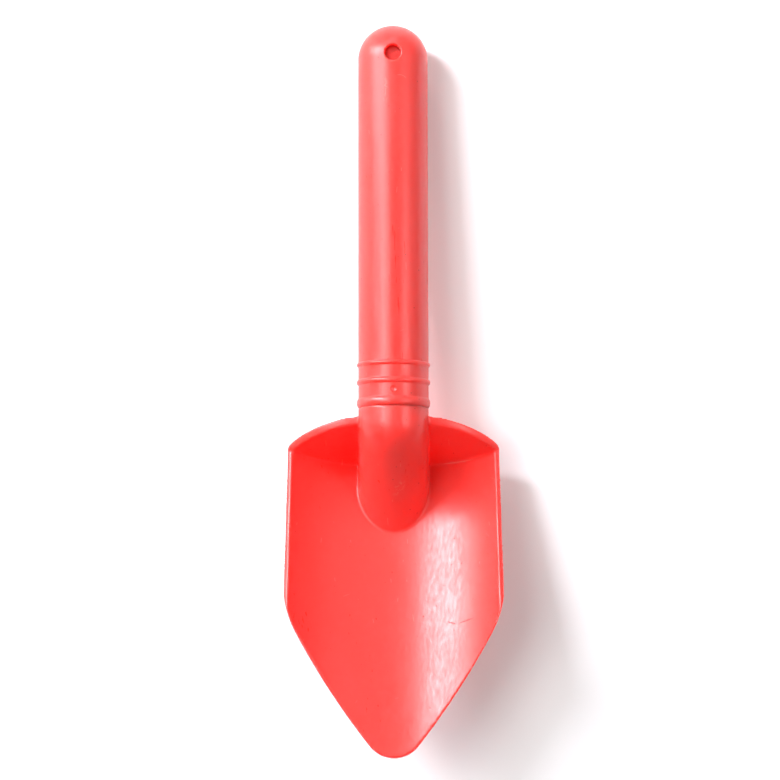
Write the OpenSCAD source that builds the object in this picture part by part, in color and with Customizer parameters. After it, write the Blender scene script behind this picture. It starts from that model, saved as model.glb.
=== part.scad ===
// Children's sand shovel: a scoop blade whose neck carries a hollow round handle.
// Millimetres. The shovel lies as it does on the ground: the domed end of the handle and
// the heel of the blade touch z = 0, the handle runs towards +Y and the tip towards -Y.

/* [Grip] */

// Outside diameter of the round handle
grip_d = 24; // [18:0.5:32]
// Handle from its domed end to its open mouth, along its axis
handle_len = 132.8; // [90:0.1:180]
// Wall of the hollow handle
handle_wall = 2.4; // [1.6:0.1:3.5]
// Lean of the handle where the shovel lies on the ground, in degrees
grip_tilt = 6; // [3:0.1:10]

/* [Hoops round the mouth] */

// Height of each hoop over the grip
hoop_rise = 0.55; // [0.3:0.05:1.2]
// Width of the hoop at the mouth
hoop_w_mouth = 3.2; // [2:0.1:4.5]
// Width of the middle hoop
hoop_w_middle = 1.9; // [1.2:0.1:3]
// Width of the hoop farthest from the mouth
hoop_w_far = 1.4; // [1:0.1:2.5]
// Mouth hoop to middle hoop, centre to centre
hoop_pitch_middle = 7.1; // [4:0.1:10]
// Middle hoop to far hoop, centre to centre
hoop_pitch_far = 6; // [4:0.1:10]
// Radius of the hollow foot on each side of a hoop
hoop_foot_r = 0.4; // [0.2:0.05:0.8]

/* [Spigot] */

// How far the blade's spigot reaches into the handle
spigot_len = 20; // [12:0.5:30]
// Radial clearance between spigot and handle
spigot_gap = 0.1; // [0.05:0.01:0.3]
// Wall of the spigot
spigot_wall = 2.4; // [1.6:0.1:3.5]
// Lead-in at the end of the spigot
spigot_lead = 1; // [0.5:0.1:2]
// How far the core of the spigot reaches past the bend
core_past_bend = 4; // [1:0.5:5]

/* [Cord hole and plug] */

// Diameter of the hole in the domed end
hole_d = 5.5; // [4:0.1:8]
// How far the hole sits past the middle of the dome, towards the end
hole_past = 0.5; // [0:0.1:2]
// Depth of the plug's face under the crown of the grip
plug_depth = 3.5; // [2:0.1:4.5]
// Thickness of the plug's head
plug_head = 1.6; // [1:0.1:2.5]
// Width of the ledge that the head sits on
seat_w = 0.7; // [0.5:0.1:1.2]
// Depth of the boss round the hole, from the crown
boss_depth = 8; // [7:0.1:10]
// Wall of the boss
boss_wall = 2; // [1.2:0.1:3]
// Radial clearance round the plug
plug_gap = 0.05; // [0.02:0.01:0.15]
// Width of the eased lip of the hole
lip_w = 0.6; // [0.2:0.1:1]

/* [Moulding mark] */

// Diameter of the round dimple between the two wide hoops
mark_d = 2.4; // [1.5:0.1:3]
// Depth of the dimple
mark_depth = 0.3; // [0.1:0.05:0.5]

/* [Blade] */

// Crease at the back of the scoop to the tip, along the floor
blade_len = 104.2; // [80:0.1:140]
// Rise of the floor towards the tip, in degrees
blade_rise = 22; // [15:0.5:28]
// Inside radius of the trough
trough_r = 45; // [38:0.5:60]
// Wall of the trough
floor_wall = 2; // [1.4:0.1:3]
// Width of the blade at its back corners
back_w = 72.9; // [60:0.1:76]
// Widest part of the blade
blade_w = 74.4; // [62:0.1:80]
// Flare of the side rims, in degrees
side_flare = 1.45; // [0:0.05:3]
// Radius of the shoulder between side rim and front edge
shoulder_r = 30.5; // [20:0.5:36]
// Radius of the slightly bowed front edges
front_r = 335; // [250:5:600]
// Radius of the tip
tip_r = 10.5; // [6:0.5:14]
// Angle between front edge and centre line at the tip
tip_angle = 38.6; // [34:0.1:42]
// Depth of the flat under the heel, which keeps the shovel from rocking
heel_flat = 0.5; // [0.3:0.05:0.8]

/* [Back wall] */

// Wall of the back, which is thicker than the trough
back_wall = 2.4; // [1.6:0.1:3.5]
// Lean of the back wall away from upright, in degrees
back_lean = 31; // [22:0.5:40]
// Radius of the back wall at the crease, seen from above
back_r = 144; // [110:1:220]
// Height of the rim over the crease, at the middle
rim_rise = 25.9; // [20:0.1:34]
// Radius of the rim's long top arc, seen from the front
rim_top_r = 144; // [100:1:220]
// Radius of the rim's falling ends, seen from the front
rim_end_r = 36; // [30:0.5:48]
// Where the long arc turns into the falling ends, in degrees
rim_turn = 6; // [4:0.5:10]
// Radius of the blade's back corners, seen from above
corner_r = 7; // [3:0.5:10]
// Slant of the back rim at those corners, seen from above, in degrees
corner_slant = 41; // [36:1:50]
// How far the rounding's sides stand clear of the rims
corner_ease = 0.2; // [0.1:0.05:0.4]

/* [Neck and nose] */

// Neck from the handle's mouth to the bend
neck_len = 4.9; // [3:0.1:12]
// Bend behind the crease, along the ground
bend_back = 15.4; // [12:0.1:20]
// Fall of the nose below level, in degrees
nose_fall = 37.2; // [30:0.1:45]
// How far the nose's straight cheeks lie inside its round top
cheek_inset = 0.2; // [0.1:0.05:0.5]
// Wall over the hollow under the nose
nose_wall = 2.4; // [1.6:0.1:3.5]
// Solid floor left at the heel, in front of the crease
heel_land = 3.5; // [2:0.1:8]

/* [Hidden] */

$fn = 96;

grip_r = grip_d / 2;
bore_r = grip_r - handle_wall;
mouth_s = handle_len - grip_r;
bend_s = mouth_s + neck_len;
spigot_r = bore_r - spigot_gap;
hole_r = hole_d / 2;
seat_r = hole_r - seat_w;
trough_out_r = trough_r + floor_wall;
nose_in_r = grip_r - nose_wall;

// places along the handle, from the centre of its domed end
hoop_s_mouth = mouth_s - hoop_w_mouth / 2;
hoop_s_middle = hoop_s_mouth - hoop_pitch_middle;
hoop_s_far = hoop_s_middle - hoop_pitch_far;
mark_s = (hoop_s_mouth + hoop_s_middle) / 2 - mark_d / 6;
mark_r = (mark_d * mark_d / 4 + mark_depth * mark_depth) / (2 * mark_depth);
// a foot's hollow dips this far under the grip's skin, so that the two cross cleanly
foot_sink = hoop_foot_r / 20;

// one overrun serves all cuts, and one reach is longer than anything that it cuts
over = floor_wall / 2;
reach = 2 * (blade_len + trough_r);

// the heel: where the outer faces of floor and back wall meet, below the crease
heel_run = (back_wall + floor_wall * sin(blade_rise - back_lean)) / cos(blade_rise - back_lean);
crease_z = floor_wall * cos(blade_rise) + heel_run * sin(blade_rise) - heel_flat;

// the handle's centre line, from the crease
dome_y = bend_back + bend_s * cos(grip_tilt);
bend_z = grip_r + bend_s * sin(grip_tilt);
front_y = blade_len * cos(blade_rise) + floor_wall * sin(blade_rise);
middle_y = (dome_y + grip_r - front_y) / 2;

// where the crown of the nose runs out into the floor, along the nose
nose_run = (bend_back * sin(blade_rise) + (bend_z - crease_z) * cos(blade_rise)
    + grip_r * cos(nose_fall + blade_rise)) / sin(nose_fall + blade_rise);

// side rims: the angle round the trough where they start at the back
rim_angle = asin(back_w / 2 / trough_out_r);
rim_start_y = (trough_r - trough_out_r * cos(rim_angle)) * sin(blade_rise);
rim_top_z = crease_z + rim_rise;

// back corners seen from above: the point where side and slant meet, and the rounding's centre
corner_rise = (trough_r - trough_out_r * cos(rim_angle)) * cos(blade_rise);
corner_far = back_r + (back_wall + corner_rise * sin(back_lean)) / cos(back_lean);
corner_y = sqrt(corner_far * corner_far - back_w * back_w / 4) - back_r;
round_c = [
    back_w / 2 + corner_ease - corner_r,
    corner_y + corner_ease - corner_r * tan(45 - corner_slant / 2)
];

// front outline: centres of the tip, shoulder and front arcs, with the tip towards +Y
tip_c = [0, blade_len - tip_r];
front_c = tip_c - (front_r - tip_r) * [cos(tip_angle), sin(tip_angle)];
shoulder_x = blade_w / 2 - shoulder_r;
shoulder_angle = acos((shoulder_x - front_c[0]) / (front_r - shoulder_r));
shoulder_c = [shoulder_x, front_c[1] + (front_r - shoulder_r) * sin(shoulder_angle)];

// from the crease's frame to the part's own
module on_ground() {
    translate([0, -middle_y, 0]) children();
}

// origin at the centre of the domed end, +Z along the handle to the blade, +Y up
module grip_frame() {
    on_ground() translate([0, dome_y, grip_r]) rotate([90 - grip_tilt, 0, 0]) children();
}

// origin on the crease, -Y along the floor to the tip, +Z out of the floor
module blade_frame() {
    on_ground() translate([0, 0, crease_z]) rotate([-blade_rise, 0, 0]) children();
}

// origin at the bend, +Z down the nose, +Y out of its crown
module nose_frame() {
    on_ground() translate([0, bend_back, bend_z]) rotate([90 + nose_fall, 0, 0]) children();
}

module both_sides() {
    children();
    mirror([1, 0, 0]) children();
}

module tube_outline(r, len) {
    intersection() {
        circle(r);
        translate([0, -r]) square(r);
    }
    square([r, len]);
}

module hoop_outline(s, w) {
    r = (w * w / 4 + hoop_rise * hoop_rise) / (2 * hoop_rise);
    intersection() {
        translate([grip_r + hoop_rise - r, s]) circle(r);
        translate([grip_r - hoop_rise, s - w / 2]) square([2 * hoop_rise, w]);
    }
}

// the hollow that eases a hoop into the grip: on its far side, or with side = -1 towards the mouth
module foot_outline(s, w, side = 1) {
    r = (w * w / 4 + hoop_rise * hoop_rise) / (2 * hoop_rise);
    both = r + hoop_foot_r;
    run = sqrt(both * both - (both - hoop_rise) * (both - hoop_rise));
    touch_rise = hoop_foot_r * hoop_rise / both;
    inside_hoop = run * r / both - touch_rise;
    translate([grip_r, s]) scale([1, -side]) difference() {
        translate([-hoop_rise, inside_hoop]) square([hoop_rise + touch_rise, run - inside_hoop]);
        translate([hoop_foot_r - foot_sink, run]) circle(hoop_foot_r);
    }
}

module handle_outline() {
    difference() {
        union() {
            tube_outline(grip_r, mouth_s);
            hoop_outline(hoop_s_mouth, hoop_w_mouth);
            hoop_outline(hoop_s_middle, hoop_w_middle);
            hoop_outline(hoop_s_far, hoop_w_far);
            foot_outline(hoop_s_mouth, hoop_w_mouth);
            for (side = [1, -1]) {
                foot_outline(hoop_s_middle, hoop_w_middle, side);
                foot_outline(hoop_s_far, hoop_w_far, side);
            }
        }
        tube_outline(bore_r, mouth_s + over);
    }
}

// a round form about the hole's axis, from one height over the handle's axis to another
module up_the_hole(r, low, high) {
    translate([0, low, -hole_past]) rotate([-90, 0, 0]) cylinder(r = r, h = high - low);
}

module cord_hole() {
    ledge = grip_r - plug_depth - plug_head;
    up_the_hole(hole_r, ledge, grip_r + over);
    up_the_hole(seat_r, grip_r - boss_depth - over, ledge + over);
    translate([0, grip_r - lip_w, -hole_past]) rotate([-90, 0, 0])
        cylinder(r1 = hole_r, r2 = hole_r + 2 * lip_w, h = 2 * lip_w);
}

module handle() {
    color("#f25a50")
    grip_frame() difference() {
        union() {
            rotate_extrude() handle_outline();
            up_the_hole(hole_r + boss_wall, grip_r - boss_depth, grip_r - handle_wall / 2);
        }
        cord_hole();
        translate([0, grip_r - mark_depth + mark_r, mark_s]) sphere(mark_r);
    }
}

module handle_plug() {
    ledge = grip_r - plug_depth - plug_head;
    color("#e34a42")
    grip_frame() {
        up_the_hole(hole_r - plug_gap, ledge, ledge + plug_head);
        up_the_hole(seat_r - plug_gap, grip_r - boss_depth, ledge + over / 2);
    }
}

// the trough's round form, from behind the back wall to past the tip
module trough(r) {
    blade_frame() translate([0, trough_r, trough_r]) rotate([90, 0, 0]) cylinder(r = r, h = reach);
}

// everything in front of the back wall, set off from its inner face
module before_back(offset_by) {
    low = crease_z + over;
    r = back_r + offset_by / cos(back_lean);
    on_ground() translate([0, -back_r, -over])
        cylinder(r1 = r - low * tan(back_lean), r2 = r + trough_r * tan(back_lean), h = low + trough_r);
}

// the blade seen square to its floor: straight sides, round shoulders, bowed front edges
module blade_outline() {
    for (side = [1, -1]) scale([side, 1]) {
        translate(shoulder_c) circle(shoulder_r);
        intersection() {
            translate(front_c) circle(front_r);
            polygon([
                tip_c,
                shoulder_c,
                front_c + 2 * front_r * [cos(shoulder_angle), sin(shoulder_angle)],
                front_c + 2 * front_r * [cos(tip_angle), sin(tip_angle)]
            ]);
        }
    }
    translate(tip_c) circle(tip_r);
    polygon([[-shoulder_c[0], shoulder_c[1]], shoulder_c, tip_c]);
    translate([-blade_w / 2, -trough_r]) square([blade_w, trough_r + shoulder_c[1]]);
}

module within_outline() {
    blade_frame() mirror([0, 1, 0]) translate([0, 0, -trough_r])
        linear_extrude(height = 2 * trough_r) blade_outline();
}

// what lies above the side rims, whose faces stand square to the trough's wall
module above_side_rims() {
    blade_frame() translate([0, 0, trough_r]) {
        both_sides() rotate([0, 90 - rim_angle, 0]) rotate([-side_flare, 0, 0])
            translate([0, -reach, 0]) cube([reach, reach, reach]);
        translate([-reach / 2, -reach, 0]) cube([reach, reach, reach]);
    }
}

// the back seen from the front: a long arc that turns down at both ends
module rim_outline() {
    top_c = [0, rim_top_z - rim_top_r];
    turn = [sin(rim_turn), cos(rim_turn)];
    end_c = top_c + (rim_top_r - rim_end_r) * turn;
    intersection() {
        translate(top_c) circle(rim_top_r);
        union() {
            polygon([
                top_c,
                top_c + 2 * rim_top_r * [-turn[0], turn[1]],
                top_c + 2 * rim_top_r * turn
            ]);
            for (side = [1, -1]) translate([side * end_c[0], end_c[1]]) circle(rim_end_r);
            translate([-end_c[0] - rim_end_r, -trough_r])
                square([2 * (end_c[0] + rim_end_r), trough_r + end_c[1]]);
        }
    }
}

module above_back_rim() {
    on_ground() translate([0, trough_r, 0]) rotate([90, 0, 0])
        linear_extrude(height = trough_r - rim_start_y) difference() {
            translate([-trough_r - over, 0]) square(2 * (trough_r + over));
            rim_outline();
        }
}

// all that lies inside the rounded back corners, seen from above
module within_corners() {
    tangent = round_c + corner_r * [sin(corner_slant), cos(corner_slant)];
    side_x = round_c[0] + corner_r;
    on_ground() linear_extrude(height = 2 * trough_r) {
        for (side = [1, -1]) translate([side * round_c[0], round_c[1]]) circle(corner_r);
        polygon([
            [-trough_r, -reach],
            [trough_r, -reach],
            [trough_r, 0],
            [side_x, 0],
            [side_x, round_c[1]],
            round_c,
            tangent,
            [0, tangent[1] + tangent[0] * tan(corner_slant)],
            [-tangent[0], tangent[1]],
            [-round_c[0], round_c[1]],
            [-side_x, round_c[1]],
            [-side_x, 0],
            [-trough_r, 0]
        ]);
    }
}

module scoop() {
    difference() {
        intersection() {
            trough(trough_out_r);
            before_back(back_wall);
            within_outline();
            within_corners();
        }
        bowl();
        above_side_rims();
        above_back_rim();
    }
}

// the hollow of the scoop
module bowl() {
    intersection() {
        trough(trough_r);
        before_back(0);
    }
}

// what the flat under the heel takes away
module under_ground() {
    translate([-reach / 2, -reach / 2, -reach]) cube([reach, reach, reach]);
}

// the neck's round form runs on into the back wall, where the nose overlaps it
module neck() {
    grip_frame() translate([0, 0, mouth_s]) cylinder(r = grip_r, h = neck_len);
    difference() {
        grip_frame() translate([0, 0, bend_s - over]) cylinder(r = grip_r, h = grip_r);
        before_back(back_wall / 4);
    }
}

// round crown and, below its centre line, straight cheeks down through the floor
module nose_form(r, half_w) {
    far = [bend_back - nose_run * cos(nose_fall), bend_z - nose_run * sin(nose_fall)];
    back = bend_back + grip_r;
    nose_frame() {
        sphere(r);
        cylinder(r = r, h = nose_run);
    }
    on_ground() translate([-half_w, 0, 0]) rotate([90, 0, 90]) linear_extrude(height = 2 * half_w)
        polygon([
            [bend_back, bend_z],
            far,
            [far[0], far[1] - grip_r],
            [back, -grip_r],
            [back, bend_z - grip_r * tan(grip_tilt)]
        ]);
}

module nose() {
    intersection() {
        nose_form(grip_r, grip_r - cheek_inset);
        trough(trough_r + floor_wall / 2);
        before_back(back_wall * 3 / 4);
    }
}

// the hollow under the nose opens downwards, in front of the heel
module under_nose() {
    intersection() {
        nose_form(nose_in_r, nose_in_r - cheek_inset);
        blade_frame() translate([-grip_r, -reach - heel_land, -reach / 2]) cube([grip_d, reach, reach]);
    }
}

module spigot() {
    grip_frame() {
        translate([0, 0, mouth_s - spigot_len]) {
            cylinder(r1 = spigot_r - spigot_lead / 2, r2 = spigot_r, h = spigot_lead);
            translate([0, 0, spigot_lead]) cylinder(r = spigot_r, h = spigot_len - spigot_lead + over);
        }
    }
}

module spigot_core() {
    grip_frame() translate([0, 0, mouth_s - spigot_len - over])
        cylinder(r = spigot_r - spigot_wall, h = over + spigot_len + neck_len + core_past_bend);
}

module blade() {
    color("#f4554b")
    difference() {
        union() {
            scoop();
            nose();
            neck();
            spigot();
        }
        spigot_core();
        under_nose();
        under_ground();
    }
}

blade();
handle();
handle_plug();
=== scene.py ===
"""A child's moulded sand shovel: scoop blade, hollow grip and the plug in its cord hole."""
from math import acos, asin, cos, pi, radians, sin, sqrt, tan

import bpy
import bmesh
from mathutils import Matrix, Quaternion, Vector
from mathutils.bvhtree import BVHTree


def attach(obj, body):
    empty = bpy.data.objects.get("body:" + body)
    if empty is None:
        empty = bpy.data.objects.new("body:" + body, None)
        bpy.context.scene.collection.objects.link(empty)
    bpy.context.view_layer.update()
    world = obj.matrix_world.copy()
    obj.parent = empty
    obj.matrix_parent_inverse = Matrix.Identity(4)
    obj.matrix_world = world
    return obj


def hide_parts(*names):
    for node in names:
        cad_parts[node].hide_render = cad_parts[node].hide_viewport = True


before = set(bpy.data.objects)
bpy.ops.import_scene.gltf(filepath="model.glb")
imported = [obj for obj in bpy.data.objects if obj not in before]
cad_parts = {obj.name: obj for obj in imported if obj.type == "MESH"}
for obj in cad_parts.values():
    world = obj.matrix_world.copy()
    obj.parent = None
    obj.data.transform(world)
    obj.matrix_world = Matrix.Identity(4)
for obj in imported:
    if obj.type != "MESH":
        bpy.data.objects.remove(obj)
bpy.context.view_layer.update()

# The shovel's own sizes in metres, as its source has them
MM = 0.001
GRIP_R = 12 * MM
BORE_R = 9.6 * MM
MOUTH_S = 120.8 * MM
BEND_S = 125.7 * MM
GRIP_TILT = radians(6)
BLADE_RISE = radians(22)
BACK_LEAN = radians(31)
NOSE_FALL = radians(37.2)
TROUGH_R = 45 * MM
FLOOR_WALL = 2 * MM
BACK_WALL = 2.4 * MM
BACK_R = 144 * MM
BACK_W = 73.1 * MM
BLADE_W = 74.75 * MM
BLADE_LEN = 104.4 * MM
CREASE = Vector((0, -27.525 * MM, 2.146 * MM))
BEND = Vector((0, -12.125 * MM, 25.139 * MM))
DOME = Vector((0, 112.887 * MM, 12 * MM))
HOLE_R = 2.75 * MM
HOLE_PAST = 0.5 * MM

# Frames of the parts: +Z along the grip to the blade, +Z out of the scoop's floor, +Z down the nose
grip_frame = Matrix.Translation(DOME) @ Matrix.Rotation(pi / 2 - GRIP_TILT, 4, "X")
blade_frame = Matrix.Translation(CREASE) @ Matrix.Rotation(-BLADE_RISE, 4, "X")
nose_frame = Matrix.Translation(BEND) @ Matrix.Rotation(pi / 2 + NOSE_FALL, 4, "X")
up_the_hole = grip_frame @ Matrix.Translation((0, 0, -HOLE_PAST)) @ Matrix.Rotation(-pi / 2, 4, "X")


# Workbench: small helpers for modelling by hand

def let_go():
    if bpy.context.object and bpy.context.object.mode != "OBJECT":
        bpy.ops.object.mode_set(mode="OBJECT")
    bpy.ops.object.select_all(action="DESELECT")


def pick(piece):
    let_go()
    piece.select_set(True)
    bpy.context.view_layer.objects.active = piece


def settle(piece, place=None):
    """Puts a fresh primitive where it belongs and leaves its place in its mesh."""
    pick(piece)
    if place is not None:
        piece.matrix_world = place @ piece.matrix_world
    bpy.ops.object.transform_apply(location=True, rotation=True, scale=True)
    return piece


def rod(r, low, high, place=None, steps=512, r_high=None):
    let_go()
    middle = (0, 0, (low + high) / 2)
    if r_high is None:
        bpy.ops.mesh.primitive_cylinder_add(vertices=steps, radius=r, depth=high - low, location=middle)
    else:
        bpy.ops.mesh.primitive_cone_add(
            vertices=steps, radius1=r, radius2=r_high, depth=high - low, location=middle)
    return settle(bpy.context.object, place)


def block(low, high, place=None):
    let_go()
    size = [b - a for a, b in zip(low, high)]
    middle = [(a + b) / 2 for a, b in zip(low, high)]
    bpy.ops.mesh.primitive_cube_add(size=1, location=middle, scale=size)
    return settle(bpy.context.object, place)


def ball(r, place=None, steps=256):
    let_go()
    bpy.ops.mesh.primitive_uv_sphere_add(segments=steps, ring_count=steps // 2, radius=r)
    return settle(bpy.context.object, place)


def slab(outline, low, high, place=None):
    """A closed outline of points, laid flat and pulled up to a slab."""
    let_go()
    bpy.ops.mesh.primitive_circle_add(vertices=len(outline), radius=1, fill_type="NGON")
    piece = bpy.context.object
    for vert, (x, y) in zip(piece.data.vertices, outline):
        vert.co = (x, y, low)
    bpy.ops.object.mode_set(mode="EDIT")
    bpy.ops.mesh.select_all(action="SELECT")
    bpy.ops.mesh.extrude_region_move(TRANSFORM_OT_translate={"value": (0, 0, high - low)})
    bpy.ops.mesh.select_all(action="SELECT")
    bpy.ops.mesh.normals_make_consistent(inside=False)
    bpy.ops.object.mode_set(mode="OBJECT")
    return settle(piece, place)


def finish_with(piece, kind, **settings):
    pick(piece)
    modifier = piece.modifiers.new(kind.title(), kind)
    for name, value in settings.items():
        setattr(modifier, name, value)
    bpy.ops.object.modifier_apply(modifier=modifier.name)
    return piece


def fit(piece, tool, how):
    """Joins, cuts or trims a piece with a tool, and throws the tool away."""
    finish_with(piece, "BOOLEAN", object=tool, operation=how, solver="EXACT")
    bpy.data.objects.remove(tool, do_unlink=True)
    return piece


def arc(centre, r, start, end, steps):
    angles = [start + i * (end - start) / steps for i in range(steps + 1)]
    return [(centre[0] + r * cos(a), centre[1] + r * sin(a)) for a in angles]


# The scoop

def blade_outline():
    """The blade seen square to its floor, with its tip towards -Y."""
    tip_r, front_r, shoulder_r = 10.5 * MM, 335 * MM, 30.5 * MM
    tip_angle = radians(38.6)
    tip_c = Vector((0, BLADE_LEN - tip_r))
    front_c = tip_c - (front_r - tip_r) * Vector((cos(tip_angle), sin(tip_angle)))
    shoulder_x = BLADE_W / 2 - shoulder_r
    shoulder_angle = acos((shoulder_x - front_c.x) / (front_r - shoulder_r))
    shoulder_c = (shoulder_x, front_c.y + (front_r - shoulder_r) * sin(shoulder_angle))
    side = [(BLADE_W / 2, -TROUGH_R)]
    side += arc(shoulder_c, shoulder_r, 0, shoulder_angle, 60)
    side += arc(front_c, front_r, shoulder_angle, tip_angle, 60)[1:]
    side += arc(tip_c, tip_r, tip_angle, pi / 2, 40)[1:]
    other = [(-x, y) for x, y in reversed(side[:-1])]
    return [(x, -y) for x, y in side + other]


def before_back(offset_by):
    """A cone that fills all that lies in front of the back wall."""
    low, high = -4 * MM, 60 * MM
    r = BACK_R + offset_by / cos(BACK_LEAN)
    place = Matrix.Translation((0, CREASE.y - BACK_R, CREASE.z))
    return rod(r + low * tan(BACK_LEAN), low, high, place, steps=1440, r_high=r + high * tan(BACK_LEAN))


def trough(r):
    place = blade_frame @ Matrix.Translation((0, TROUGH_R, TROUGH_R)) @ Matrix.Rotation(pi / 2, 4, "X")
    return rod(r, 0, 230 * MM, place, steps=1024)


def rim_outline():
    """What lies above the back rim, seen from the front."""
    top_r, end_r, turn = 144 * MM, 36 * MM, radians(6)
    top_z = CREASE.z + 26.2 * MM - top_r
    end_c = ((top_r - end_r) * sin(turn), top_z + (top_r - end_r) * cos(turn))
    half = arc((0, top_z), top_r, pi / 2, pi / 2 - turn, 30)
    half += arc(end_c, end_r, pi / 2 - turn, 0, 80)[1:]
    far = TROUGH_R * 1.6
    half += [(half[-1][0], -far), (far, -far), (far, far)]
    return half + [(-x, y) for x, y in reversed(half[1:])]


def corner_outline():
    """What lies inside the two rounded back corners, seen from above."""
    r, slant, ease = 7 * MM, radians(41), 0.2 * MM
    out_r = TROUGH_R + FLOOR_WALL
    rise = (TROUGH_R - sqrt(out_r**2 - BACK_W**2 / 4)) * cos(BLADE_RISE)
    far = BACK_R + (BACK_WALL + rise * sin(BACK_LEAN)) / cos(BACK_LEAN)
    corner_y = sqrt(far**2 - BACK_W**2 / 4) - BACK_R
    centre = (BACK_W / 2 + ease - r, corner_y + ease - r * tan(pi / 4 - slant / 2))
    round_part = arc(centre, r, 0, pi / 2 - slant, 30)
    edge = round_part[0][0]
    half = [(TROUGH_R, -0.25), (TROUGH_R, 0), (edge, 0)] + round_part
    x, y = round_part[-1]
    apex = (0, y + x * tan(slant))
    return half + [apex] + [(-a, b) for a, b in reversed(half)]


def scoop_shell():
    scoop = trough(TROUGH_R + FLOOR_WALL)
    fit(scoop, before_back(BACK_WALL), "INTERSECT")
    fit(scoop, slab(blade_outline(), -45 * MM, 45 * MM, blade_frame), "INTERSECT")
    corners = slab(corner_outline(), -10 * MM, 90 * MM, Matrix.Translation((0, CREASE.y, 0)))
    fit(scoop, corners, "INTERSECT")
    bowl = trough(TROUGH_R)
    fit(bowl, before_back(0), "INTERSECT")
    fit(scoop, bowl, "DIFFERENCE")
    rim_angle = asin(BACK_W / 2 / (TROUGH_R + FLOOR_WALL))
    far = 0.25
    for side in (1, -1):
        lean = Matrix.Rotation(side * (pi / 2 - rim_angle), 4, "Y") @ Matrix.Rotation(radians(-1.45), 4, "X")
        place = blade_frame @ Matrix.Translation((0, 0, TROUGH_R)) @ lean
        low, high = (0, -far, 0), (side * far, 0, far)
        box = block([min(a, b) for a, b in zip(low, high)], [max(a, b) for a, b in zip(low, high)], place)
        fit(scoop, box, "DIFFERENCE")
    above = block((-far / 2, -far, TROUGH_R), (far / 2, 0, far), blade_frame)
    fit(scoop, above, "DIFFERENCE")
    start = (TROUGH_R - (TROUGH_R + FLOOR_WALL) * cos(rim_angle)) * sin(BLADE_RISE)
    upright = Matrix.Translation((0, CREASE.y, 0)) @ Matrix.Rotation(pi / 2, 4, "X")
    fit(scoop, slab(rim_outline(), -TROUGH_R, -start, upright), "DIFFERENCE")
    return scoop


# The neck and the nose that runs down into the scoop

def nose_form(r, half_w):
    """Round crown with straight cheeks below its centre line."""
    back = BEND.y - CREASE.y
    up = BEND.z - CREASE.z
    fall = NOSE_FALL + BLADE_RISE
    run = (back * sin(BLADE_RISE) + up * cos(BLADE_RISE) + GRIP_R * cos(fall)) / sin(fall)
    form = ball(r, nose_frame)
    fit(form, rod(r, 0, run, nose_frame), "UNION")
    far = (BEND.y - run * cos(NOSE_FALL), BEND.z - run * sin(NOSE_FALL))
    side = [
        (BEND.y, BEND.z),
        far,
        (far[0], far[1] - GRIP_R),
        (BEND.y + GRIP_R, -GRIP_R),
        (BEND.y + GRIP_R, BEND.z - GRIP_R * tan(GRIP_TILT)),
    ]
    across = Matrix(((0, 0, 1, 0), (1, 0, 0, 0), (0, 1, 0, 0), (0, 0, 0, 1)))
    fit(form, slab(side, -half_w, half_w, across), "UNION")
    return form


def make_blade():
    blade = scoop_shell()
    nose = nose_form(GRIP_R, GRIP_R - 0.1 * MM)
    fit(nose, trough(TROUGH_R + FLOOR_WALL / 2), "INTERSECT")
    fit(nose, before_back(BACK_WALL * 0.75), "INTERSECT")
    fit(blade, nose, "UNION")
    run_on = rod(GRIP_R, BEND_S - 1 * MM, BEND_S + GRIP_R, grip_frame)
    fit(run_on, before_back(BACK_WALL * 0.25), "DIFFERENCE")
    fit(blade, run_on, "UNION")
    fit(blade, rod(GRIP_R, MOUTH_S - 0.2 * MM, BEND_S, grip_frame), "UNION")
    fit(blade, rod(BORE_R - 0.25 * MM, MOUTH_S - 20 * MM, MOUTH_S + 1 * MM, grip_frame), "UNION")
    hollow = nose_form(GRIP_R - 2.4 * MM, GRIP_R - 2.6 * MM)
    fit(hollow, block((-GRIP_R, -0.25, -0.15), (GRIP_R, -3.5 * MM, 0.15), blade_frame), "INTERSECT")
    fit(blade, hollow, "DIFFERENCE")
    fit(blade, rod(7.1 * MM, MOUTH_S - 21 * MM, BEND_S + 4 * MM, grip_frame), "DIFFERENCE")
    fit(blade, block((-0.2, -0.2, -0.1), (0.2, 0.2, 0)), "DIFFERENCE")
    return blade


def corner_weight(point):
    """How close a point lies to the soft inner corners round the nose and along the crease."""
    in_blade = blade_frame.inverted() @ point
    off_floor = TROUGH_R - sqrt(in_blade.x**2 + (in_blade.z - TROUGH_R) ** 2)
    flat = sqrt(point.x**2 + (point.y - CREASE.y + BACK_R) ** 2)
    off_back = (BACK_R + (point.z - CREASE.z) * tan(BACK_LEAN) - flat) * cos(BACK_LEAN)
    along = nose_frame.inverted() @ point
    off_nose = sqrt(along.x**2 + max(along.y, 0) ** 2) - GRIP_R
    if off_floor < -1 * MM or off_back < -1 * MM:
        return 0
    nearest = sorted((off_floor, off_back, off_nose))
    return max(0, min(1, 1.6 - nearest[1] / (2.2 * MM)))


def mark_verts(piece, name, weigh):
    group = piece.vertex_groups.new(name=name)
    for vert in piece.data.vertices:
        weight = weigh(vert.co)
        if weight > 0:
            group.add([vert.index], weight, "REPLACE")


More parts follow.
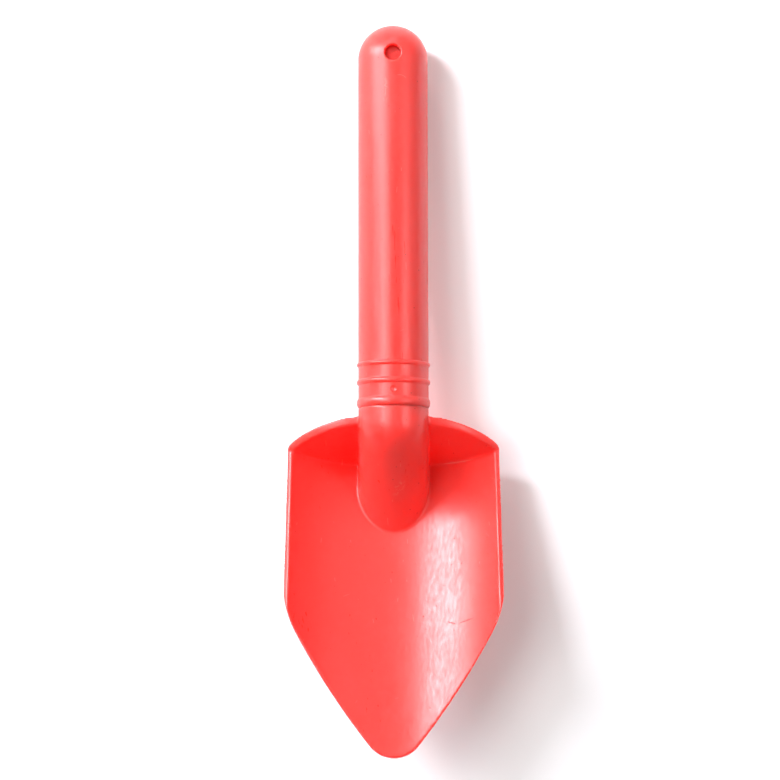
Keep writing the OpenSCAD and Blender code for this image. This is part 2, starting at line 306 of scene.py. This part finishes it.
def soften(blade):
    """Gives the sharp form the rounded edges and inner corners of a moulding."""
    pick(blade)
    bpy.ops.object.duplicate()
    sharp = bpy.context.object
    finish_with(sharp, "TRIANGULATE")
    finish_with(blade, "REMESH", mode="VOXEL", voxel_size=0.36 * MM, use_smooth_shade=True)
    finish_with(blade, "SMOOTH", factor=0.5, iterations=8)
    mark_verts(blade, "inner_corners", corner_weight)
    finish_with(blade, "SMOOTH", factor=0.5, iterations=16, vertex_group="inner_corners")
    skin = BVHTree.FromObject(sharp, bpy.context.evaluated_depsgraph_get())
    near, far = 0.05 * MM, 0.11 * MM

    def closeness(point):
        return max(0, min(1, (far - skin.find_nearest(point)[3]) / (far - near)))

    mark_verts(blade, "true_faces", closeness)
    finish_with(blade, "SHRINKWRAP", target=sharp, wrap_method="NEAREST_SURFACEPOINT",
                vertex_group="true_faces")
    bpy.data.objects.remove(sharp, do_unlink=True)
    finish_with(blade, "SMOOTH", factor=0.5, iterations=4)
    finish_with(blade, "DECIMATE", ratio=min(1, 192000 / (len(blade.data.polygons) * 2)))
    blade.vertex_groups.clear()
    return blade


# The grip

def spun(profile, place, steps=256):
    """Turns an outline of (radius, height) points from axis to axis into a closed round form."""
    let_go()
    bpy.ops.mesh.primitive_circle_add(vertices=len(profile), radius=1)
    piece = bpy.context.object
    for vert, (r, z) in zip(piece.data.vertices, profile):
        vert.co = (r, 0, z)
    last = len(profile) - 1
    bpy.ops.object.mode_set(mode="EDIT")
    bpy.ops.mesh.select_mode(type="EDGE")
    bpy.ops.mesh.select_all(action="DESELECT")
    mesh = bmesh.from_edit_mesh(piece.data)
    for edge in mesh.edges:
        edge.select = {v.index for v in edge.verts} == {0, last}
    bpy.ops.mesh.delete(type="EDGE")
    bpy.ops.mesh.select_all(action="SELECT")
    bpy.ops.mesh.spin(steps=steps, angle=2 * pi, center=(0, 0, 0), axis=(0, 0, 1))
    bpy.ops.mesh.select_all(action="SELECT")
    bpy.ops.mesh.remove_doubles(threshold=0.002 * MM)
    bpy.ops.mesh.normals_make_consistent(inside=False)
    bpy.ops.object.mode_set(mode="OBJECT")
    return settle(piece, place)


def hoop(middle, width, at_mouth=False, rise=0.55 * MM, foot_r=0.4 * MM):
    """One rounded hoop between two hollow feet, as (radius, height) points."""
    r = (width**2 / 4 + rise**2) / (2 * rise)
    both = r + foot_r
    run = sqrt(both**2 - (both - rise) ** 2)
    touch = asin(run / both)
    points = arc((GRIP_R + foot_r, middle - run), foot_r, pi, pi - touch, 6)[:-1]
    if at_mouth:
        return points + arc((GRIP_R + rise - r, middle), r, -touch, asin(width / 2 / r) - radians(3), 20)
    points += arc((GRIP_R + rise - r, middle), r, -touch, touch, 18)[:-1]
    return points + arc((GRIP_R + foot_r, middle + run), foot_r, touch - pi, -pi, 6)


def grip_profile():
    outer = [(GRIP_R * cos(a), GRIP_R * sin(a)) for a in (radians(-90 + 3 * i) for i in range(31))]
    outer[0] = (0, -GRIP_R)
    outer += [(GRIP_R, z * 2.5 * MM) for z in range(1, 42)]
    outer += hoop(106.1 * MM, 1.4 * MM) + hoop(112.1 * MM, 1.9 * MM)
    outer += hoop(119.2 * MM, 3.2 * MM, at_mouth=True)
    outer += [(GRIP_R, MOUTH_S - 0.02 * MM), (GRIP_R - 0.1 * MM, MOUTH_S)]
    inner = [(BORE_R, MOUTH_S), (BORE_R, MOUTH_S / 2)]
    inner += [(BORE_R * cos(a), BORE_R * sin(a)) for a in (radians(-6 * i) for i in range(16))]
    inner[-1] = (0, -BORE_R)
    return outer + inner


def crown_height(x, z):
    """Height of the grip's skin over its axis, in the grip's frame."""
    return sqrt(GRIP_R**2 - x**2 - min(z, 0) ** 2)


def hole_cutter():
    """Cuts the cord hole and eases its lip evenly, though the skin round it is curved."""
    lip = 0.55 * MM
    floor = 6.9 * MM
    rings = [(0, None), (HOLE_R, None)]
    rings += [(HOLE_R + lip * (1 - cos(a)), lip * (sin(a) - 1)) for a in (radians(9 * i) for i in range(11))]
    rings += [(HOLE_R + lip * 1.3, 0.02 * MM), (HOLE_R + lip * 1.3, 2 * MM), (0, 2 * MM)]
    profile = [(r, i * MM) for i, (r, _) in enumerate(rings)]
    cutter = spun(profile, None, steps=96)
    for vert in cutter.data.vertices:
        r, height = rings[round(vert.co.z / MM)]
        x, z = vert.co.x, vert.co.y - HOLE_PAST
        vert.co = (x, floor if height is None else crown_height(x, z) + height, z)
    pick(cutter)
    bpy.ops.object.mode_set(mode="EDIT")
    bpy.ops.mesh.select_all(action="SELECT")
    bpy.ops.mesh.normals_make_consistent(inside=False)
    bpy.ops.object.mode_set(mode="OBJECT")
    return settle(cutter, grip_frame)


def make_handle():
    handle = spun(grip_profile(), grip_frame)
    fit(handle, rod(HOLE_R + 2 * MM, 4 * MM, GRIP_R - 1.2 * MM, up_the_hole, steps=96), "UNION")
    fit(handle, hole_cutter(), "DIFFERENCE")
    fit(handle, rod(2.05 * MM, 3 * MM, 8 * MM, up_the_hole, steps=96), "DIFFERENCE")
    mark = grip_frame @ Matrix.Translation((0, GRIP_R + 1.15 * MM, 115.25 * MM))
    fit(handle, ball(1.65 * MM, mark, steps=128), "DIFFERENCE")
    finish_with(handle, "TRIANGULATE")
    finish_with(handle, "WELD", merge_threshold=0.001 * MM)
    return handle


def make_plug():
    head, shank, top, low, foot = 2.72 * MM, 1.99 * MM, 8.5 * MM, 6.9 * MM, 4 * MM
    profile = [(0, foot), (shank - 0.2 * MM, foot), (shank, foot + 0.2 * MM), (shank, low), (head, low)]
    profile += arc((head - 0.3 * MM, top - 0.3 * MM), 0.3 * MM, 0, pi / 2, 8)
    profile += [(1.6 * MM, top + 0.03 * MM), (0.8 * MM, top + 0.05 * MM), (0, top + 0.055 * MM)]
    return spun(profile, up_the_hole, steps=128)


def round_shading(piece, angle=40):
    pick(piece)
    bpy.ops.object.shade_smooth_by_angle(angle=radians(angle))


# Finishes of the coral plastic

CORAL = (0.93, 0.052, 0.043)


def new_group(name, inputs, outputs):
    group = bpy.data.node_groups.new(name, "ShaderNodeTree")
    for socket, kind, value in inputs:
        made = group.interface.new_socket(socket, in_out="INPUT", socket_type=kind)
        if value is not None:
            made.default_value = value
    for socket, kind in outputs:
        group.interface.new_socket(socket, in_out="OUTPUT", socket_type=kind)
    nodes = group.nodes
    return group, nodes.new("NodeGroupInput"), nodes.new("NodeGroupOutput")


def add(nodes, kind, **settings):
    node = nodes.new(kind)
    for name, value in settings.items():
        setattr(node, name, value)
    return node


def blend_range(nodes, links, source, low, high, to_low=0.0, to_high=1.0):
    node = add(nodes, "ShaderNodeMapRange", interpolation_type="SMOOTHSTEP")
    for socket, value in zip(("From Min", "From Max", "To Min", "To Max"), (low, high, to_low, to_high)):
        node.inputs[socket].default_value = value
    links.new(source, node.inputs["Value"])
    return node.outputs["Result"]


def stretched_noise(nodes, links, vector, stretch, scale, detail=3.0, rough=0.55):
    mapping = nodes.new("ShaderNodeMapping")
    mapping.inputs["Scale"].default_value = stretch
    links.new(vector, mapping.inputs["Vector"])
    noise = nodes.new("ShaderNodeTexNoise")
    noise.inputs["Scale"].default_value = scale
    noise.inputs["Detail"].default_value = detail
    noise.inputs["Roughness"].default_value = rough
    links.new(mapping.outputs["Vector"], noise.inputs["Vector"])
    return noise.outputs["Fac"]


def maths(nodes, links, operation, first, second):
    node = add(nodes, "ShaderNodeMath", operation=operation)
    for socket, value in zip(node.inputs, (first, second)):
        if isinstance(value, (int, float)):
            socket.default_value = value
        else:
            links.new(value, socket)
    return node.outputs["Value"]


def flow_lines():
    """Fine lines that the melt leaves along the shovel, as a height."""
    group, entry, out = new_group(
        "flow_lines",
        [
            ("Place", "NodeSocketVector", None),
            ("Fine", "NodeSocketFloat", 1.0),
            ("Broad", "NodeSocketFloat", 1.0),
        ],
        [("Height", "NodeSocketFloat")],
    )
    nodes, links = group.nodes, group.links
    fine = stretched_noise(nodes, links, entry.outputs["Place"], (1, 0.022, 1), 1000, 2.0)
    broad = stretched_noise(nodes, links, entry.outputs["Place"], (1, 0.06, 1), 160, 2.0)
    sum_up = maths(nodes, links, "ADD",
                   maths(nodes, links, "MULTIPLY", fine, entry.outputs["Fine"]),
                   maths(nodes, links, "MULTIPLY", broad, entry.outputs["Broad"]))
    links.new(sum_up, out.inputs["Height"])
    return group


def moulding_specks():
    """A few tiny dark specks in the plastic, as a mask."""
    group, entry, out = new_group(
        "moulding_specks",
        [
            ("Place", "NodeSocketVector", None),
            ("Spacing", "NodeSocketFloat", 330.0),
            ("Size", "NodeSocketFloat", 0.07),
        ],
        [("Mask", "NodeSocketFloat")],
    )
    nodes, links = group.nodes, group.links
    cells = add(nodes, "ShaderNodeTexVoronoi", feature="F1")
    links.new(entry.outputs["Place"], cells.inputs["Vector"])
    links.new(entry.outputs["Spacing"], cells.inputs["Scale"])
    cells.inputs["Randomness"].default_value = 1.0
    near = maths(nodes, links, "LESS_THAN", cells.outputs["Distance"], entry.outputs["Size"])
    split = nodes.new("ShaderNodeSeparateColor")
    links.new(cells.outputs["Color"], split.inputs["Color"])
    chosen = maths(nodes, links, "GREATER_THAN", split.outputs["Red"], 0.3)
    links.new(maths(nodes, links, "MULTIPLY", near, chosen), out.inputs["Mask"])
    return group


def thin_line(nodes, links, along, across, length, width):
    """One fine line with soft ends, in the coordinates that run along it and across it."""
    ends = maths(nodes, links, "DIVIDE", maths(nodes, links, "ABSOLUTE", along, 0.0), length)
    sides = maths(nodes, links, "DIVIDE", maths(nodes, links, "ABSOLUTE", across, 0.0), width)
    middle = blend_range(nodes, links, ends, 1.0, 0.6)
    return maths(nodes, links, "MULTIPLY", middle, blend_range(nodes, links, sides, 1.0, 0.4))


def turned(nodes, links, place, angle):
    """The two flat coordinates of a place, turned by an angle."""
    split = nodes.new("ShaderNodeSeparateXYZ")
    links.new(place, split.inputs["Vector"])
    c, s = maths(nodes, links, "COSINE", angle, 0.0), maths(nodes, links, "SINE", angle, 0.0)
    x, y = split.outputs["X"], split.outputs["Y"]
    along = maths(nodes, links, "ADD", maths(nodes, links, "MULTIPLY", x, c),
                  maths(nodes, links, "MULTIPLY", y, s))
    across = maths(nodes, links, "SUBTRACT", maths(nodes, links, "MULTIPLY", y, c),
                   maths(nodes, links, "MULTIPLY", x, s))
    return along, across


def hair_scratches():
    """Sparse short scratches, each straight and turned its own way, as a mask."""
    group, entry, out = new_group(
        "hair_scratches",
        [
            ("Place", "NodeSocketVector", None),
            ("Spacing", "NodeSocketFloat", 60.0),
            ("Share", "NodeSocketFloat", 0.3),
            ("Length", "NodeSocketFloat", 2.5 * MM),
            ("Width", "NodeSocketFloat", 0.12 * MM),
            ("Turn", "NodeSocketFloat", 1.0),
        ],
        [("Mask", "NodeSocketFloat")],
    )
    nodes, links = group.nodes, group.links
    cells = add(nodes, "ShaderNodeTexVoronoi", feature="F1")
    links.new(entry.outputs["Place"], cells.inputs["Vector"])
    links.new(entry.outputs["Spacing"], cells.inputs["Scale"])
    offset = add(nodes, "ShaderNodeVectorMath", operation="SUBTRACT")
    links.new(entry.outputs["Place"], offset.inputs[0])
    links.new(cells.outputs["Position"], offset.inputs[1])
    dice = nodes.new("ShaderNodeSeparateColor")
    links.new(cells.outputs["Color"], dice.inputs["Color"])
    swing = maths(nodes, links, "MULTIPLY", maths(nodes, links, "SUBTRACT", dice.outputs["Red"], 0.5), pi)
    angle = maths(nodes, links, "ADD", maths(nodes, links, "MULTIPLY", swing, entry.outputs["Turn"]), pi / 2)
    along, across = turned(nodes, links, offset.outputs["Vector"], angle)
    length = maths(nodes, links, "MULTIPLY", entry.outputs["Length"], dice.outputs["Blue"])
    line = thin_line(nodes, links, along, across, length, entry.outputs["Width"])
    chosen = maths(nodes, links, "LESS_THAN", dice.outputs["Green"], entry.outputs["Share"])
    links.new(maths(nodes, links, "MULTIPLY", line, chosen), out.inputs["Mask"])
    return group


FLOW, SPECKS, HAIRS = flow_lines(), moulding_specks(), hair_scratches()


def one_bent_line(nodes, links, place, middle, turn, length, width, bend):
    """A single bent thin line at a known place, as a mask; it draws the scratches and also the painted
    highlight line in the blade's crease.
    """
    mapping = add(nodes, "ShaderNodeMapping", vector_type="TEXTURE")
    mapping.inputs["Location"].default_value = (*middle, 0)
    mapping.inputs["Rotation"].default_value = (0, 0, turn)
    links.new(place, mapping.inputs["Vector"])
    split = nodes.new("ShaderNodeSeparateXYZ")
    links.new(mapping.outputs["Vector"], split.inputs["Vector"])
    x, y = split.outputs["X"], split.outputs["Y"]
    bow = maths(nodes, links, "MULTIPLY", maths(nodes, links, "MULTIPLY", x, x), bend)
    line = thin_line(nodes, links, x, maths(nodes, links, "SUBTRACT", y, bow), length, width)
    upper = maths(nodes, links, "GREATER_THAN", split.outputs["Z"], 0.0)
    return maths(nodes, links, "MULTIPLY", line, upper)


def scuff(nodes, links, place, middle, turn, size, grain):
    """A rubbed patch, ragged inside a soft oval, as a mask."""
    mapping = add(nodes, "ShaderNodeMapping", vector_type="TEXTURE")
    mapping.inputs["Location"].default_value = (*middle, 0)
    mapping.inputs["Rotation"].default_value = (0, 0, turn)
    mapping.inputs["Scale"].default_value = (*size, 60 * MM)
    links.new(place, mapping.inputs["Vector"])
    away = add(nodes, "ShaderNodeVectorMath", operation="LENGTH")
    links.new(mapping.outputs["Vector"], away.inputs[0])
    oval = blend_range(nodes, links, away.outputs["Value"], 1.0, 0.35)
    grains = stretched_noise(nodes, links, place, (1, 0.55, 1), grain, 2.0)
    ragged = blend_range(nodes, links, grains, 0.49, 0.58)
    return maths(nodes, links, "MULTIPLY", oval, ragged)


def coral_plastic(name, rough, fine=0.7, broad=0.5, wave=0.8, hairs=0.3, extra=None):
    """Satin coral plastic that lets light in, with flow lines, specks and light scratches, plus any extra
    marks it is given, among them a painted highlight line on the blade.
    """
    material = bpy.data.materials.new(name)
    material.use_nodes = True
    nodes, links = material.node_tree.nodes, material.node_tree.links
    skin = nodes["Principled BSDF"]
    place = nodes.new("ShaderNodeTexCoord").outputs["Object"]

    def effect(group, **values):
        node = add(nodes, "ShaderNodeGroup", node_tree=group)
        links.new(place, node.inputs["Place"])
        for socket, value in values.items():
            node.inputs[socket].default_value = value
        return node.outputs[0]

    lines = effect(FLOW, Fine=fine, Broad=broad)
    dots = effect(SPECKS)
    marks_and_glint = maths(nodes, links, "MULTIPLY", effect(HAIRS, Spacing=55.0, Share=hairs), 0.6)
    ticks = effect(HAIRS, Spacing=150.0, Share=hairs / 2, Length=1.6 * MM, Width=0.14 * MM, Turn=0.12)
    marks_and_glint = maths(nodes, links, "MAXIMUM", marks_and_glint, ticks)
    # Pale marks: real scuffs and scratches, and on the blade also a painted highlight line along the crease.
    pale_marks_and_glint, dark_marks = extra(nodes, links, place) if extra else ((), ())
    for single in pale_marks_and_glint:
        marks_and_glint = maths(nodes, links, "MAXIMUM", marks_and_glint, single)
    for single in dark_marks:
        dots = maths(nodes, links, "MAXIMUM", dots, single)
    cloud = stretched_noise(nodes, links, place, (1, 0.4, 1), 30, 4.0)
    tone = add(nodes, "ShaderNodeMix", data_type="RGBA")
    tone.inputs["A"].default_value = (*(c * 0.94 for c in CORAL), 1)
    tone.inputs["B"].default_value = (*(c * 1.04 for c in CORAL), 1)
    links.new(cloud, tone.inputs["Factor"])
    dark = add(nodes, "ShaderNodeMix", data_type="RGBA")
    dark.inputs["B"].default_value = (0.2, 0.008, 0.01, 1)
    links.new(tone.outputs["Result"], dark.inputs["A"])
    links.new(maths(nodes, links, "MULTIPLY", dots, 0.5), dark.inputs["Factor"])
    # Lightens the colour under the pale marks: real wear, and on the blade a painted highlight in the
    # crease.
    pale = add(nodes, "ShaderNodeMix", data_type="RGBA")
    pale.inputs["B"].default_value = (0.95, 0.2, 0.16, 1)
    links.new(dark.outputs["Result"], pale.inputs["A"])
    links.new(maths(nodes, links, "MULTIPLY", marks_and_glint, 0.5), pale.inputs["Factor"])
    links.new(pale.outputs["Result"], skin.inputs["Base Color"])
    dull = blend_range(nodes, links, cloud, 0.3, 0.7, rough - 0.025, rough + 0.035)
    streaks = maths(nodes, links, "SUBTRACT", maths(nodes, links, "DIVIDE", lines, fine + broad), 0.5)
    dull = maths(nodes, links, "ADD", dull, maths(nodes, links, "MULTIPLY", streaks, 0.4))
    dull = maths(nodes, links, "ADD", dull, maths(nodes, links, "MULTIPLY", dots, 0.35))
    dull = maths(nodes, links, "ADD", dull, maths(nodes, links, "MULTIPLY", marks_and_glint, 0.2))
    links.new(dull, skin.inputs["Roughness"])
    wavy = maths(nodes, links, "MULTIPLY", stretched_noise(nodes, links, place, (1, 0.6, 1), 110, 2.0), wave)
    pits = maths(nodes, links, "MULTIPLY", maths(nodes, links, "MAXIMUM", dots, marks_and_glint), 0.3)
    height = maths(nodes, links, "SUBTRACT", maths(nodes, links, "ADD", lines, wavy), pits)
    relief = nodes.new("ShaderNodeBump")
    relief.inputs["Strength"].default_value = 1.0
    relief.inputs["Distance"].default_value = 0.03 * MM
    links.new(height, relief.inputs["Height"])
    links.new(relief.outputs["Normal"], skin.inputs["Normal"])
    skin.inputs["IOR"].default_value = 1.5
    skin.inputs["Subsurface Weight"].default_value = 1.0
    skin.inputs["Subsurface Radius"].default_value = (1.0, 0.1, 0.07)
    skin.inputs["Subsurface Scale"].default_value = 6.5 * MM
    return material


def blade_marks_and_glint(nodes, links, place):
    """The scuff on the nose, a painted highlight line along the crease and the two dark hairs in the scoop.
    """
    pale = (
        scuff(nodes, links, place, (1.9 * MM, -34.4 * MM), radians(-32), (2.1 * MM, 4.4 * MM), 1100),
        # Painted highlight: a pale line along the crease where the walls meet, standing in for the glint of
        # light on the soft inner corner.
        one_bent_line(nodes, links, place, (22.2 * MM, -26.1 * MM), radians(9), 5.6 * MM, 0.22 * MM, 4),
    )
    dark = (
        one_bent_line(nodes, links, place, (25.0 * MM, -79.1 * MM), radians(24), 3.4 * MM, 0.17 * MM, 18),
        one_bent_line(nodes, links, place, (19.6 * MM, -80.2 * MM), radians(-12), 1.4 * MM, 0.17 * MM, 0),
    )
    return pale, dark


def grip_marks(nodes, links, place):
    """A worn ring and a rubbed stripe near the hole."""
    pale = (
        one_bent_line(nodes, links, place, (3.2 * MM, 106.5 * MM), radians(-20), 1.9 * MM, 0.14 * MM, -180),
        scuff(nodes, links, place, (-2.6 * MM, 101.5 * MM), 0, (1.2 * MM, 7 * MM), 1100),
    )
    return pale, ()


def dress(piece, node, name, material):
    piece.name = name
    piece.data.name = name
    piece.data.materials.clear()
    piece.data.materials.append(material)
    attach(piece, "root")
    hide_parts(node)
    return piece


blade = dress(soften(make_blade()), "blade", "scoop_blade",
              coral_plastic("blade_coral", 0.345, fine=0.6, broad=0.3, wave=0.35, extra=blade_marks_and_glint))
handle = dress(make_handle(), "handle", "grip",
               coral_plastic("grip_coral", 0.33, fine=0.6, wave=2.0, hairs=0.35, extra=grip_marks))
plug = dress(make_plug(), "handle_plug", "cord_hole_plug",
             coral_plastic("plug_coral", 0.36, hairs=0.0))
round_shading(blade, 60)
round_shading(handle, 35)
round_shading(plug, 35)


# The studio: a pale floor, a leaning strip of light at the upper left and weak ones round it

WHITE = (1.0, 1.0, 1.0)
COOL_WHITE = (0.98, 0.985, 1.06)


def soft_light(name, around, above, size, brightness, roll=0, tint=WHITE, far=1.6):
    """A soft light that faces the shovel from a compass angle and a height angle, in degrees."""
    data = bpy.data.lights.new(name, "AREA")
    data.shape = "RECTANGLE"
    data.size, data.size_y = size
    data.energy = brightness * data.size * data.size_y
    data.color = tint
    lamp = bpy.data.objects.new(name, data)
    bpy.context.scene.collection.objects.link(lamp)
    a, h = radians(around), radians(above)
    lamp.location = far * Vector((cos(h) * cos(a), cos(h) * sin(a), sin(h)))
    facing = (-lamp.location).to_track_quat("-Z", "Y") @ Quaternion((0, 0, 1), radians(roll))
    lamp.rotation_euler = facing.to_euler()
    return lamp


let_go()
bpy.ops.mesh.primitive_plane_add(size=6)
floor = bpy.context.object
floor.name = "studio_floor"
paper = bpy.data.materials.new("white_paper")
paper.use_nodes = True
paper_skin = paper.node_tree.nodes["Principled BSDF"]
paper_skin.inputs["Base Color"].default_value = (0.9, 0.9, 0.9, 1)
paper_skin.inputs["Roughness"].default_value = 0.9
floor.data.materials.append(paper)

soft_light("key_strip", 141, 35, (0.21, 0.86), 164, roll=28, tint=COOL_WHITE)
soft_light("key_foot", 148, 23, (0.22, 0.28), 98, roll=20, tint=COOL_WHITE)
soft_light("key_head", 134, 44, (0.22, 0.34), 40, roll=28, tint=COOL_WHITE)
soft_light("low_left", 150, 11, (0.39, 0.34), 54)
soft_light("high_left", 166, 56, (0.39, 0.34), 41)
soft_light("overhead", 165, 68, (0.98, 0.39), 17)
soft_light("behind", 95, 30, (0.71, 0.71), 11)
soft_light("high_right", 4, 50, (0.56, 0.56), 23)
soft_light("right_wash", 45, 35, (1.33, 1.33), 1.8)
soft_light("low_right", 5, 22, (1.16, 0.86), 1.3)
soft_light("front_wash", 285, 25, (2.24, 1.0), 0.9)

world = bpy.data.worlds.new("studio")
bpy.context.scene.world = world
world.use_nodes = True
world.node_tree.nodes["Background"].inputs["Color"].default_value = (1, 0.94, 0.94, 1)
world.node_tree.nodes["Background"].inputs["Strength"].default_value = 0.05

camera_data = bpy.data.cameras.new("camera")
camera_data.sensor_width = 36
camera_data.lens = 36 / (2 * 0.1365)
camera = bpy.data.objects.new("camera", camera_data)
bpy.context.scene.collection.objects.link(camera)
camera.location = (-1.18 * MM, -1.0 * MM, 1.0)
camera.rotation_euler = (0, 0, radians(-0.1))
bpy.context.scene.camera = camera
bpy.context.scene.view_settings.view_transform = "Standard"
